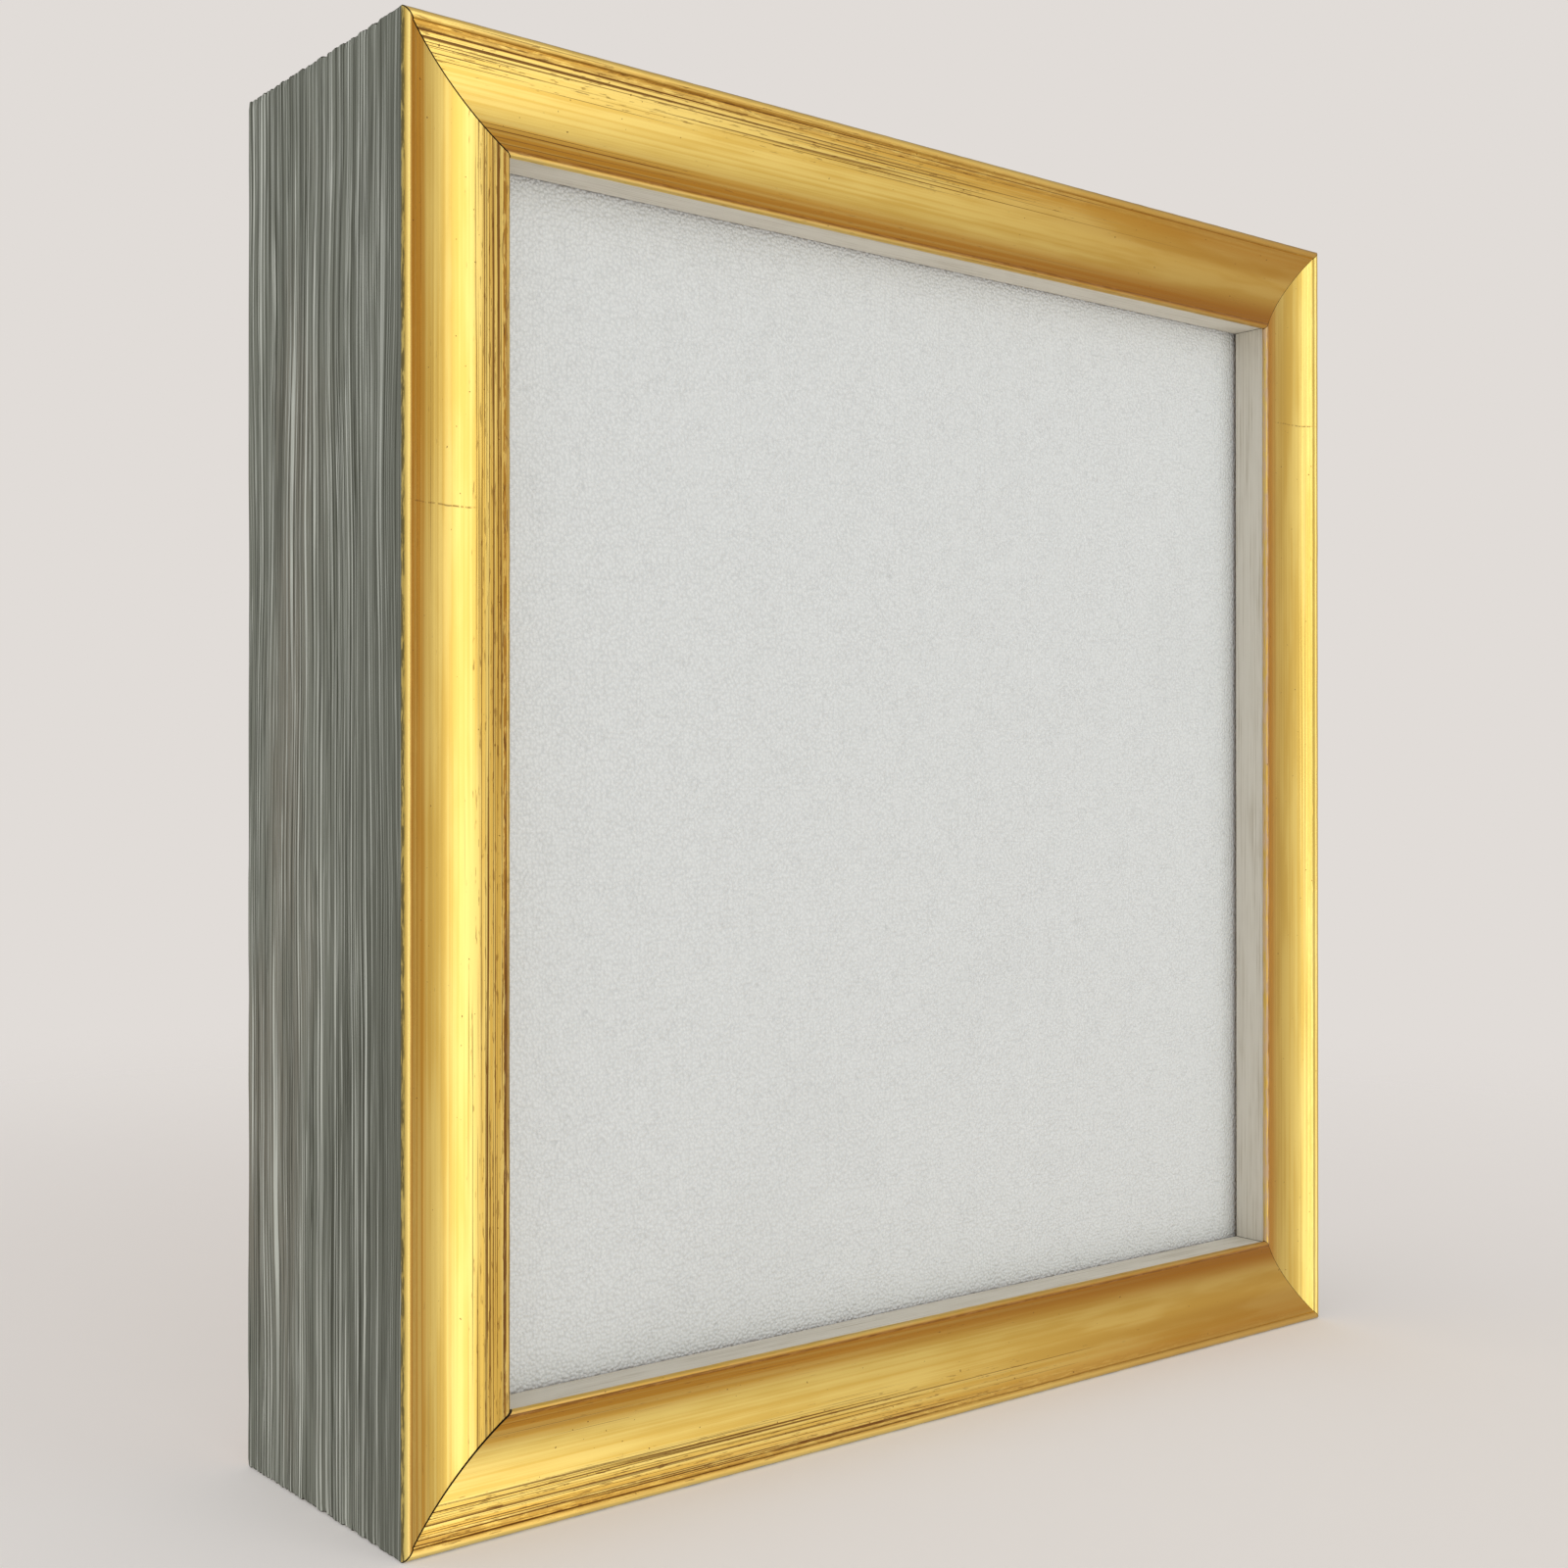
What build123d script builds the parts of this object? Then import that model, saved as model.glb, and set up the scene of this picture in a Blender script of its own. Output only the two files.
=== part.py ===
from build123d import *
import os
from math import radians, sin

# A small deep-rabbet picture frame, 9 in square outside, holding an 8 in square stretched canvas.
# It stands on its bottom rail: +Z is up, the gilded face looks along -Y, and the origin is the
# middle of the whole object's footprint on the surface it stands on. All sizes are millimetres.

INCH = 25.4

# Frame moulding
frame_side = 9 * INCH            # outer width and height
frame_depth = 2 * INCH           # front crest to the wall side of the rails
face_width = 0.75 * INCH         # gilded face, outer edge to sight edge
lip_thickness = 7.5              # front plane to the shoulder that the canvas stops against
lip_wall_setback = 0.3           # the lip's inner wall stands this far behind the rounded nose
rabbet_wall = 11.9               # timber left beside the rabbet, seen on the back
crest_width = 1.65               # the bead along the outer edge
crest_drop = 0.25                # its inner foot, behind the front plane
crest_side_drop = 0.8            # its outer foot
crest_peak = 0.986               # inset of its highest line
scoop_depth = 1.9                # deepest point of the hollow, behind the front plane
scoop_middle = 9.6               # and how far in from the outer edge
nose_start = 18.05               # where the hollow meets the rounded sight edge
nose_front = 0.155
nose_peak = 0.602                # depth of its innermost line
nose_depth = 1.1216
back_arris = 0.4                 # chamfer along the outer back edge

# Stretched canvas
canvas_side = 8 * INCH
cloth = 0.5
canvas_gap = 0.8                 # between the lip's shoulder and the cloth
bar_depth = 1.625 * INCH
bar_width = 0.75 * INCH
bar_bead = 3.5                   # the flat bead along a bar's outer front edge
bar_fall = 3.0                   # the bar's front slopes back this far, clear of the cloth
cloth_fold = 16.0                # cloth turned over the backs of the bars
key_length = 22.0                # corner keys, which tighten the canvas
key_width = 12.0
key_thickness = 2.6
key_in_slot = 5.0
key_depths = {"level": 24.0, "upright": 32.0}   # behind the canvas face, by the bar they sit in

# Staples that hold the cloth
staple_crown = 10.0
staple_wire = 0.5
staple_proud = 0.2               # the crown is pressed into the cloth, and stands this far out
staple_band = 1.2
staple_leg = 8.0
staples_a_side = 5
staple_pitch = 36.0
staple_inset = 9.0

# V-nails across the mitres
nail_wing = 6.0
nail_splay = 0.35                # each wing's slope away from the rail's length
nail_plate = 0.5
nail_height = 10.0
nail_spacing = 18.0
nail_inset = 6.5

# Turn buttons on the backs of the rails
button_width = 9.0
button_reach = 19.0              # pivot to tip
button_plate = 1.2
button_lift = 1.1                # height of the turned-up tip
button_gap = 0.05                # working gap under the plate and under the screw head
hole_clearance = 0.1
screw_inset = 6.0                # from the rail's outer edge

# Pan-head wood screws
screw_shank = 1.6                # radius
screw_head = 3.0
screw_head_height = 1.9
screw_length = 13.0
screw_tip = 3.0
cross_length = 3.4
cross_width = 0.7
cross_depth = 0.9

# Strap hangers with D-rings
strap_width = 6.8
strap_sheet = 0.8                # the strap is this sheet folded double
strap_length = 23.0              # ring axis to the strap's free end
strap_screw_drop = 17.0          # ring axis to the screw
ring_wire = 0.8                  # radius
ring_inside_width = 7.8
ring_inside_height = 6.5
ring_shoulder = 1.2              # bend beside the straight bar, at the wire's middle
ring_bow = 4.0                   # and at the bow
ring_rest_tilt = 6.5             # degrees away from straight down, where it lies on the strap
ring_height = 176.0              # of the ring axis above the surface
hanger_inset = 7.2               # the hangers' middle, in from the frame's sides

# Wall bumpers
bumper_radius = 4.5
bumper_height = 2.4
bumper_up = 24.0

# Sizes that follow
half = frame_side / 2
loop_radius = ring_wire + hole_clearance
loop_outside = loop_radius + strap_sheet
ring_axis_off = loop_outside + 0.05                      # from the rail's back to the ring axis
ring_drop = ring_inside_height + 2 * ring_wire           # ring axis to the middle of its bow
ring_proud = ring_axis_off + ring_drop * sin(radians(ring_rest_tilt)) + ring_wire
overall_depth = frame_depth + ring_proud
front_y = -overall_depth / 2
back_y = front_y + frame_depth
canvas_front = front_y + lip_thickness + canvas_gap
bar_front = canvas_front + cloth
bar_back = bar_front + bar_depth
canvas_back = bar_back + cloth
bar_side = canvas_side - 2 * cloth

SIDES = {"bottom": 0, "right": 90, "top": 180, "left": 270}


def spun(shape, side):
    """Turn a shape made for the bottom rail round the frame's middle to another side."""
    return Pos(0, 0, half) * Rot(0, -SIDES[side], 0) * Pos(0, 0, -half) * shape


def moulding_section():
    """The moulding's section: X is the depth behind the front plane, Y the inset from the edge."""
    wall = face_width - lip_wall_setback
    with BuildSketch() as section:
        with BuildLine():
            crest = ThreePointArc((crest_side_drop, 0), (0, crest_peak), (crest_drop, crest_width))
            hollow = ThreePointArc(crest @ 1, (scoop_depth, scoop_middle), (nose_front, nose_start))
            nose = ThreePointArc(hollow @ 1, (nose_peak, face_width), (nose_depth, wall))
            Polyline(
                nose @ 1,
                (lip_thickness, wall),
                (lip_thickness, rabbet_wall),
                (frame_depth, rabbet_wall),
                (frame_depth, back_arris),
                (frame_depth - back_arris, 0),
                crest @ 0,
            )
        make_face()
    return section.sketch


def bar_section():
    """A stretcher bar's section: X is the depth behind its front, Y the inset from its edge."""
    with BuildSketch() as section:
        with BuildLine():
            Polyline(
                (0, 0),
                (0, bar_bead),
                (bar_fall, bar_width),
                (bar_depth, bar_width),
                (bar_depth, 0),
                close=True,
            )
        make_face()
    return section.sketch


def mitred(section, side_length, start_y, foot_z, width):
    """Run a section along the bottom edge of a square and cut both ends at 45 degrees."""
    reach = side_length / 2
    end = Plane((-reach, start_y, foot_z), x_dir=(0, 1, 0), z_dir=(1, 0, 0))
    run = extrude(end * section, side_length)
    keep = Polygon((0, 0), (-reach, -reach), (reach, -reach), align=None)
    front = Plane((0, start_y - width, foot_z + reach), x_dir=(1, 0, 0), z_dir=(0, -1, 0))
    return run & extrude(front * keep, -(frame_depth + 2 * width))


def rail():
    """The bottom rail of the frame."""
    return mitred(moulding_section(), frame_side, front_y, 0, face_width)


def key_outline():
    """A corner key seen from behind, its thin end at the corner."""
    return [
        (0, -key_in_slot),
        (key_length, -key_in_slot),
        (key_length, key_width - key_in_slot),
        (key_length * 0.8, key_width - key_in_slot),
        (0, 1.5),
    ]


def key_at(side, towards):
    """One key in a bar, at the end that towards (-1 or 1) points to as the bar lies at the bottom."""
    lying = "level" if side in ("bottom", "top") else "upright"
    inner = half - bar_side / 2 + bar_width
    corner_x = towards * (bar_side / 2 - bar_width)
    points = [(corner_x - towards * x, inner + z) for x, z in key_outline()]
    plan = Polygon(*points, align=None)
    y = canvas_front + key_depths[lying]
    return extrude(Plane((0, y, 0), x_dir=(1, 0, 0), z_dir=(0, -1, 0)) * plan, -key_thickness)


def bar(side):
    """A stretcher bar with its two key slots, lying at the bottom."""
    body = mitred(bar_section(), bar_side, bar_front, half - bar_side / 2, bar_width)
    for towards in (-1, 1):
        body -= key_at(side, towards)
    return body


def canvas():
    """The cloth: a shallow tray over the bars, its hem turned over their backs."""
    depth = canvas_back - canvas_front
    outside = Box(canvas_side, depth, canvas_side)
    inside = Box(bar_side, bar_depth, bar_side)
    mouth_side = canvas_side - 2 * (cloth_fold + cloth)
    mouth = Pos(0, depth / 2, 0) * Box(mouth_side, 4 * cloth, mouth_side)
    return Pos(0, (canvas_front + canvas_back) / 2, half) * (outside - inside - mouth)


def staple():
    """A staple with its crown along X, its back on y = 0 and its legs going in along -Y."""
    crown = Box(staple_crown, staple_wire, staple_band, align=(Align.CENTER, Align.MIN, Align.CENTER))
    leg = Box(staple_wire, staple_leg, staple_band, align=(Align.CENTER, Align.MAX, Align.CENTER))
    reach = (staple_crown - staple_wire) / 2
    return crown + Pos(reach, 0, 0) * leg + Pos(-reach, 0, 0) * leg


def staples():
    foot = half - canvas_side / 2 + staple_inset
    middle = (staples_a_side - 1) / 2
    crown_base = canvas_back + staple_proud - staple_wire
    row = [
        Pos((n - middle) * staple_pitch, crown_base, foot) * staple() for n in range(staples_a_side)
    ]
    return [spun(one, side) for side in SIDES for one in row]


def v_nail():
    """A V-nail across the mitre at the bottom left corner, standing along Y from y = 0 forwards."""
    spread = nail_splay * nail_wing
    crotch = nail_plate / (1 - nail_splay)
    outline = Polygon(
        (0, 0),
        (nail_wing, spread),
        (nail_wing, spread + nail_plate),
        (crotch, crotch),
        (spread + nail_plate, nail_wing),
        (spread, nail_wing),
        align=None,
    )
    return extrude(Plane((0, 0, 0), x_dir=(1, 0, 0), z_dir=(0, -1, 0)) * outline, nail_height)


def v_nails():
    low = nail_inset - nail_plate
    pair = [
        Pos(-half + low, back_y - n * nail_spacing, low) * v_nail() for n in range(2)
    ]
    return [spun(one, side) for side in SIDES for one in pair]


def screw():
    """A pan-head wood screw: the head stands on y = 0 towards +Y, the shank goes in along -Y."""
    head = Pos(0, screw_head_height / 2, 0) * Rot(90, 0, 0) * Cylinder(screw_head, screw_head_height)
    rim = head.edges().group_by(Axis.Y)[-1]
    head = fillet(rim, screw_head_height * 0.6)
    straight = screw_length - screw_tip
    shank = Pos(0, -straight / 2, 0) * Rot(90, 0, 0) * Cylinder(screw_shank, straight)
    tip = Pos(0, -straight - screw_tip / 2, 0) * Rot(90, 0, 0) * Cone(screw_shank, 0.3, screw_tip)
    slot = Pos(0, screw_head_height, 0) * Box(cross_length, 2 * cross_depth, cross_width)
    return head + shank + tip - slot - Rot(0, 90, 0) * slot


def turn_button():
    """A turn button on the bottom rail, pointing up over the canvas."""
    base = back_y + button_gap
    with BuildSketch(Plane((0, base, screw_inset), x_dir=(-1, 0, 0), z_dir=(0, 1, 0))) as plan:
        SlotCenterPoint((0, (button_reach - button_width / 2) / 2), (0, 0), button_width)
        Circle(screw_shank + hole_clearance, mode=Mode.SUBTRACT)
    plate = extrude(plan.sketch, button_plate)
    tall = extrude(plan.sketch, button_plate + button_lift)
    tip = screw_inset + button_reach
    strip = Pos(0, base, tip) * Box(button_width, 2 * (button_plate + button_lift), 2 * button_plate)
    return plate + (tall & strip)


def turn_button_screw():
    """The screw that a turn button pivots on, on the bottom rail."""
    return Pos(0, back_y + 2 * button_gap + button_plate, screw_inset) * screw()


def across(side, inset):
    """The X of a fitting on the left or right rail, this far in from the frame's side."""
    return (half - inset) * (1 if side == "right" else -1)


def strap(side):
    """A strap folded double round the ring's bar, flat on the rail's back, ring end up."""
    with BuildSketch(Plane.YZ) as section:
        Circle(loop_outside)
        with Locations((-ring_axis_off, 0)):
            Rectangle(2 * strap_sheet, strap_length, align=(Align.MIN, Align.MAX))
        Circle(loop_radius, mode=Mode.SUBTRACT)
    hole = Pos(0, 0, -strap_screw_drop) * Rot(90, 0, 0) * Cylinder(screw_shank + hole_clearance, 20)
    body = extrude(section.sketch, strap_width / 2, both=True) - hole
    return Pos(across(side, hanger_inset), back_y + ring_axis_off, ring_height) * body


def strap_screw(side):
    at = (across(side, hanger_inset), back_y + 2 * strap_sheet, ring_height - strap_screw_drop)
    return Pos(*at) * screw()


def ring(side):
    """A D-ring hanging down on its strap: a straight bar in the loop, and a bow below it."""
    reach = ring_inside_width / 2 + ring_wire
    with BuildLine(Plane.XZ) as path:
        FilletPolyline(
            (reach, 0),
            (reach, -ring_drop),
            (-reach, -ring_drop),
            (-reach, 0),
            radius=(ring_shoulder, ring_bow, ring_bow, ring_shoulder),
            close=True,
        )
    bow = sweep(Plane(path.line @ 0, z_dir=path.line % 0) * Circle(ring_wire), path=path.line)
    lean = Rot(ring_rest_tilt, 0, 0)
    return Pos(across(side, hanger_inset), back_y + ring_axis_off, ring_height) * lean * bow


def bumper(side):
    """A soft round bumper near a lower corner, flat on the rail's back and domed behind."""
    pad = Pos(0, bumper_height / 2, 0) * Rot(90, 0, 0) * Cylinder(bumper_radius, bumper_height)
    pad = fillet(pad.edges().group_by(Axis.Y)[-1], bumper_height * 0.7)
    return Pos(across(side, rabbet_wall / 2), back_y, bumper_up) * pad


def nodes():
    """Every node's solids, by the node's name."""
    made = {}
    for side in SIDES:
        made[f"{side}_rail"] = [spun(rail(), side)]
        made[f"{side}_stretcher_bar"] = [spun(bar(side), side)]
        made[f"{side}_turn_button"] = [spun(turn_button(), side)]
        made[f"{side}_corner_keys"] = [spun(key_at(side, towards), side) for towards in (-1, 1)]
    made["canvas"] = [canvas()]
    made["canvas_staples"] = staples()
    made["corner_v_nails"] = v_nails()
    made["turn_button_screws"] = [spun(turn_button_screw(), side) for side in SIDES]
    for side in ("left", "right"):
        made[f"{side}_hanger_strap"] = [strap(side)]
        made[f"{side}_d_ring"] = [ring(side)]
        made[f"{side}_bumper"] = [bumper(side)]
    made["hanger_screws"] = [strap_screw(side) for side in ("left", "right")]
    return made


os.makedirs("parts", exist_ok=True)
for name, solids in nodes().items():
    whole = solids[0] if len(solids) == 1 else Compound(children=solids)
    export_step(whole, f"parts/{name}.step")
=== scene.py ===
"""A small gilded scoop frame with a stretched canvas and its fittings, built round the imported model."""

from math import atan2, cos, pi, radians, sin, sqrt

import bmesh
import bpy
from mathutils import Matrix, Vector, noise


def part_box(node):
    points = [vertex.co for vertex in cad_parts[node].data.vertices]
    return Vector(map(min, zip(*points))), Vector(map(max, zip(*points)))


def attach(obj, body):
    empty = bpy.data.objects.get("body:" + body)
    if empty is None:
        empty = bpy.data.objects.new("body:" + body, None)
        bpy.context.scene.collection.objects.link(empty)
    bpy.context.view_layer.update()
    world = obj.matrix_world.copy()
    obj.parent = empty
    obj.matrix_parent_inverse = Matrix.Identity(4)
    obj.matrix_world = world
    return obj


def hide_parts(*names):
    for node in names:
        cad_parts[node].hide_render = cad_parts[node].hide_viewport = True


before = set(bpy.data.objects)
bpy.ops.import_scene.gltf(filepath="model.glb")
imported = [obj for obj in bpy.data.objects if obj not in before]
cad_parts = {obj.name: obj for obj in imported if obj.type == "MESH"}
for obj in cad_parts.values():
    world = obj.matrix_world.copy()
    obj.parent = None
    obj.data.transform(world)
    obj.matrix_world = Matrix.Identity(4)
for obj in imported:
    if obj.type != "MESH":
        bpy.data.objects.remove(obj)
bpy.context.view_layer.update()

bl_info = {
    "name": "Gilded Scoop Frame",
    "version": (1, 0, 0),
    "blender": (4, 5, 0),
    "location": "View3D > Sidebar > Frame",
    "description": "Builds a gilded gallery frame with its canvas, bars and hanging fittings",
    "category": "Object",
}

MM = 0.001
SIDES = ("bottom", "right", "top", "left")
ENDS = ("left", "right")
FRAME_LOW, FRAME_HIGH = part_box("bottom_rail")
HALF = FRAME_HIGH.x
FRONT = FRAME_LOW.y
BACK = FRAME_HIGH.y
DEPTH = BACK - FRONT
CANVAS_LOW, CANVAS_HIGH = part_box("canvas")


# ---------------------------------------------------------------- properties


def length(name, description, default, **more):
    return bpy.props.FloatProperty(
        name=name, description=description, default=default, unit="LENGTH", precision=5, **more
    )


def colour(name, description, red, green, blue):
    """A colour given as it looks on a chart, from 0 to 255."""
    return bpy.props.FloatVectorProperty(
        name=name,
        description=description,
        default=tuple(to_linear(c / 255) for c in (red, green, blue)),
        size=3,
        min=0.0,
        max=1.0,
        subtype="COLOR",
    )


def to_linear(c):
    return c / 12.92 if c <= 0.04045 else ((c + 0.055) / 1.055) ** 2.4


class MouldingSizes(bpy.types.PropertyGroup):
    crest_width: length("Crest width", "Width of the bead along the outer edge", 1.65 * MM)
    crest_side: length("Crest side", "How far the bead rolls down the outer side", 0.8 * MM)
    quirk: length("Quirk", "Small step between the bead and the hollow", 0.25 * MM)
    hollow_depth: length("Hollow depth", "Deepest point of the hollow", 1.9 * MM)
    hollow_middle: length("Hollow middle", "Where the hollow is deepest, from the outer edge", 9.6 * MM)
    hollow_end: length("Hollow end", "Where the hollow meets the sight edge", 18.05 * MM)
    face: length("Face", "Outer edge to sight edge", 19.05 * MM)
    nose_front: length("Nose front", "Depth of the hollow's inner end", 0.155 * MM)
    nose_peak: length("Nose peak", "Depth of the sight edge's innermost line", 0.602 * MM)
    nose_depth: length("Nose depth", "Where the nose ends on the lip's inner wall", 1.12 * MM)
    setback: length("Setback", "The lip's wall stands this far behind the nose", 0.3 * MM)
    lip: length("Lip", "Thickness of the lip", 7.5 * MM)
    rabbet_wall: length("Rabbet wall", "Timber beside the rabbet", 11.9 * MM)
    arris: length("Arris", "Rounding of the outer back edge", 0.4 * MM)
    mitre_gap: length("Mitre gap", "Half the gap at the two left mitres", 0.12 * MM)
    tight_gap: length("Tight mitre gap", "Half the gap at the two right mitres", 0.05 * MM)
    open_mitre: length("Open mitre", "Extra gap at the bottom left mitre's sight edge", 0.14 * MM)
    grain_relief: length("Grain relief", "Depth of the grooves in the weathered sides", 0.16 * MM)
    chipping: length("Chipping", "How far the sides' corners are worn back", 0.36 * MM)
    leaf_relief: length("Leaf relief", "Depth of the streaks in the gilding", 0.035 * MM)


class GildingColours(bpy.types.PropertyGroup):
    bright: colour("Bright gold", "Burnished parts of the leaf", 247, 221, 129)
    warm: colour("Warm gold", "The leaf's common tone", 233, 199, 102)
    # The orange gold also paints a dark reflection at the foot of the hollow and shade towards the far end.
    orange_leaf_and_shade: colour("Orange gold", "Thin leaf at the edges of the hollow", 218, 154, 48)
    # The amber gold also paints shade over the far ends and over whole rails, most on the top and bottom.
    amber_and_shade: colour("Amber gold", "Darker glaze at the inner edge and the far ends", 168, 108, 30)
    # The crest colour is a painted highlight along the bead.
    painted_crest_highlight: colour("Crest", "Burnished line along the bead", 250, 222, 132)
    umber: colour("Umber", "Dark streaks rubbed into the leaf", 120, 74, 6)
    olive: colour("Olive grime", "Grime on the outer flank of the bead", 112, 98, 50)
    ground: colour("Ground", "Chalky ground that shows at the sight edge", 205, 172, 134)
    roughness: bpy.props.FloatProperty(
        name="Roughness", description="Roughness of clean leaf", default=0.3, min=0.0, max=1.0
    )


class TimberColours(bpy.types.PropertyGroup):
    grey: colour("Weathered grey", "Common tone of the sides", 127, 129, 116)
    pale: colour("Pale grain", "Raised grain", 204, 206, 194)
    dark: colour("Dark pores", "Bottoms of the grooves", 64, 65, 50)
    brown: colour("Brown cast", "Warm patches near the back", 138, 128, 112)
    limewash: colour("Limewash", "Inner wall of the lip", 222, 216, 202)
    limewash_grain: colour("Limewash grain", "Grain that shows through the limewash", 186, 176, 156)
    raw: colour("Raw timber", "Back, rabbet and mitre cuts", 196, 164, 120)
    raw_dark: colour("Raw timber grain", "Its darker growth rings", 164, 126, 82)
    # The mitre cut's dark colour is painted shade for the narrow mitre gaps.
    cut: colour("Mitre cut", "Glue-stained end grain in the mitres", 70, 56, 34)
    cut_dark: colour("Mitre cut grain", "Its darker pores", 44, 36, 22)
    pine: colour("Pine", "Stretcher bars", 222, 192, 142)
    pine_dark: colour("Pine grain", "Their growth rings", 192, 148, 94)
    beech: colour("Beech", "Corner keys", 206, 164, 122)
    beech_dark: colour("Beech flecks", "Their short flecks", 168, 120, 82)


class CanvasSettings(bpy.types.PropertyGroup):
    cloth: length("Cloth", "Thickness of the primed cloth", 0.5 * MM)
    thread: length("Thread spacing", "Distance between threads of the raw back", 0.75 * MM)
    pebble: length("Pebble spacing", "Distance between bumps of the primed front", 0.615 * MM)
    pebble_relief: length("Pebble relief", "Height of those bumps", 0.25 * MM)
    thread_relief: length("Thread relief", "Height of the threads of the raw back", 0.12 * MM)
    fold: length("Turned hem", "Cloth turned over the backs of the bars", 16 * MM)
    edge_radius: length("Edge radius", "Rounding where the cloth turns a bar's edge", 0.9 * MM)
    wave: length("Slack", "Height of the cloth's gentle unevenness", 0.12 * MM)
    primer: colour("Primer", "White acrylic primer", 237, 240, 239)
    # The primer's hollow colour is painted shade between the bumps.
    primer_painted_shade: colour("Primer in the hollows", "Primer between the threads", 216, 219, 218)
    duck: colour("Raw cotton", "Unprimed back of the cloth", 214, 202, 178)
    # The raw cotton's shade colour is painted shade between its threads.
    duck_painted_shade: colour("Raw cotton shade", "Between its threads", 182, 168, 140)


class FittingColours(bpy.types.PropertyGroup):
    zinc: colour("Zinc plate", "Turn buttons and screws", 196, 198, 200)
    zinc_dull: colour("Dull zinc", "Handled and oxidised parts", 150, 152, 152)
    brass: colour("Brass plate", "Straps and rings", 226, 186, 108)
    brass_dull: colour("Dull brass", "Tarnish", 168, 128, 66)
    wire: colour("Bright wire", "Staples and V-nails", 190, 190, 188)
    rubber: colour("Bumper", "Wall bumpers", 58, 58, 60)
    softening: length("Softening", "Rounding of the fittings' edges", 0.12 * MM)


class StageSettings(bpy.types.PropertyGroup):
    lens: bpy.props.FloatProperty(
        name="Focal length", description="Of a 36 mm wide camera", default=44.65, unit="CAMERA"
    )
    shift: bpy.props.FloatProperty(name="Shift", description="Sideways lens shift", default=0.15)
    left: bpy.props.FloatProperty(
        name="Camera left", description="Left of the face's middle, in frame widths", default=1.1444
    )
    before: bpy.props.FloatProperty(
        name="Camera before", description="In front of the face, in frame widths", default=1.0685
    )
    below: bpy.props.FloatProperty(
        name="Camera below", description="Below the face's middle, in frame widths", default=0.0036
    )
    turn: bpy.props.FloatProperty(
        name="Turn", description="Camera's turn to the right", default=0.6171, unit="ROTATION"
    )
    tilt: bpy.props.FloatProperty(
        name="Tilt", description="Camera's tilt upwards", default=0.0024, unit="ROTATION", precision=4
    )
    window_width: length("Window width", "Width of the soft light in front", 0.56)
    window_height: length("Window height", "Height of that light", 2.0)
    window_power: bpy.props.FloatProperty(
        name="Window power", description="Power of that light in watts", default=3.2, min=0.0
    )
    floor: colour("Floor", "Pale studio floor", 225, 220, 216)
    backdrop: colour("Backdrop", "Pale studio background", 225, 220, 216)


class FrameSettings(bpy.types.PropertyGroup):
    moulding: bpy.props.PointerProperty(type=MouldingSizes)
    gilding: bpy.props.PointerProperty(type=GildingColours)
    timber: bpy.props.PointerProperty(type=TimberColours)
    canvas: bpy.props.PointerProperty(type=CanvasSettings)
    fittings: bpy.props.PointerProperty(type=FittingColours)
    stage: bpy.props.PointerProperty(type=StageSettings)


# ---------------------------------------------------------------- shader maths


class Value:
    """A node's output. Sums and products of values add the Math nodes that work them out."""

    def __init__(self, recipe, socket):
        self.recipe = recipe
        self.socket = socket

    def maths(self, operation, *operands, clamp=False):
        inputs = dict(enumerate(operands))
        return self.recipe.node("ShaderNodeMath", {"operation": operation, "use_clamp": clamp}, inputs)

    def __add__(self, other):
        return self.maths("ADD", self, other)

    def __radd__(self, other):
        return self.maths("ADD", other, self)

    def __sub__(self, other):
        return self.maths("SUBTRACT", self, other)

    def __rsub__(self, other):
        return self.maths("SUBTRACT", other, self)

    def __mul__(self, other):
        return self.maths("MULTIPLY", self, other)

    def __rmul__(self, other):
        return self.maths("MULTIPLY", other, self)

    def size(self):
        return self.maths("ABSOLUTE", self)

    def sine(self):
        return self.maths("SINE", self)

    def clamped(self):
        return self.maths("ADD", self, 0.0, clamp=True)

    def rise(self, low, high):
        """From 0 at low to 1 at high, smoothly; high may be the lower number."""
        return self.recipe.node(
            "ShaderNodeMapRange",
            {"interpolation_type": "SMOOTHSTEP"},
            {"Value": self, "From Min": low, "From Max": high, "To Min": 0.0, "To Max": 1.0},
        )

    def band(self, low, high, soft):
        """1 between low and high, fading to 0 over soft on each side."""
        return self.rise(low - soft, low) * self.rise(high + soft, high)


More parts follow.
